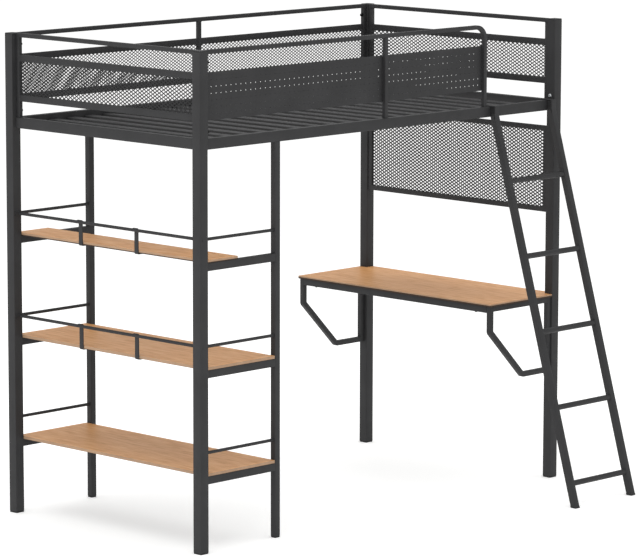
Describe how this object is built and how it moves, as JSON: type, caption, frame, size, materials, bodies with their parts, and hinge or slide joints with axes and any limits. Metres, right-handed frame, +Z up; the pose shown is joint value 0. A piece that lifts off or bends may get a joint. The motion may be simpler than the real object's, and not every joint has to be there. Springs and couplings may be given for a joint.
{
  "type": "loft bed with desk",
  "caption": "Steel loft bed on corner posts, with mesh and sheet guards, a hook-on ladder, wood shelves across one end and a wood desk on tube brackets across the other.",
  "frame": {"origin": "on the floor, under the middle of the box round the bed and its ladder", "axes": "+X along the bed from the shelf end to the desk end, +Y from the ladder side to the back, +Z up"},
  "size_m": [1.98, 1.5074, 1.84],
  "materials": {
    "powder_coated_steel": "satin dark grey powder coat",
    "expanded_steel_mesh": "satin dark grey powder coat over diamond mesh",
    "wood_laminate": "satin light brown wood-grain laminate",
    "black_plastic": "matte black"
  },
  "bodies": {
    "bed": {"back_guard": "powder_coated_steel", "back_guard_mesh_left": "expanded_steel_mesh", "back_guard_mesh_right": "expanded_steel_mesh", "corner_post_back_left": "powder_coated_steel", "corner_post_back_right": "powder_coated_steel", "corner_post_front_left": "powder_coated_steel", "corner_post_front_right": "powder_coated_steel", "desk_board": "wood_laminate", "desk_bracket_back": "powder_coated_steel", "desk_bracket_front": "powder_coated_steel", "desk_rail_back": "powder_coated_steel", "desk_rail_front": "powder_coated_steel", "end_guard_left": "powder_coated_steel", "end_guard_mesh_left": "expanded_steel_mesh", "end_guard_mesh_right": "expanded_steel_mesh", "end_guard_right": "powder_coated_steel", "end_rail_left": "powder_coated_steel", "end_rail_right": "powder_coated_steel", "front_guard": "powder_coated_steel", "front_guard_panel_left": "powder_coated_steel", "front_guard_panel_right": "powder_coated_steel", "post_cap_back_left": "black_plastic", "post_cap_back_right": "black_plastic", "post_cap_front_left": "black_plastic", "post_cap_front_right": "black_plastic", "post_foot_back_left": "black_plastic", "post_foot_back_right": "black_plastic", "post_foot_front_left": "black_plastic", "post_foot_front_right": "black_plastic", "privacy_frame": "powder_coated_steel", "privacy_mesh": "expanded_steel_mesh", "shelf_board_low": "wood_laminate", "shelf_board_middle": "wood_laminate", "shelf_board_top": "wood_laminate", "shelf_end_stop_middle": "powder_coated_steel", "shelf_end_stop_top": "powder_coated_steel", "shelf_post_back": "powder_coated_steel", "shelf_post_foot_back": "black_plastic", "shelf_post_foot_front": "black_plastic", "shelf_post_front": "powder_coated_steel", "shelf_rail_low_back": "powder_coated_steel", "shelf_rail_low_front": "powder_coated_steel", "shelf_rail_middle_back": "powder_coated_steel", "shelf_rail_middle_front": "powder_coated_steel", "shelf_rail_top_back": "powder_coated_steel", "shelf_rail_top_front": "powder_coated_steel", "shelf_rod_low_back": "powder_coated_steel", "shelf_rod_low_front": "powder_coated_steel", "shelf_rod_middle_back": "powder_coated_steel", "shelf_rod_middle_front": "powder_coated_steel", "shelf_rod_top_back": "powder_coated_steel", "shelf_rod_top_front": "powder_coated_steel", "side_rail_back": "powder_coated_steel", "side_rail_front": "powder_coated_steel", "slat_deck_left": "powder_coated_steel", "slat_deck_right": "powder_coated_steel"},
    "ladder": {"ladder_foot_left": "black_plastic", "ladder_foot_right": "black_plastic", "ladder_frame": "powder_coated_steel"}
  },
  "joints": [
    {"name": "ladder_lift", "type": "slide", "parent": "bed", "child": "ladder", "axis": [0, 0, 1], "range_m": [0, 0.12]}
  ]
}
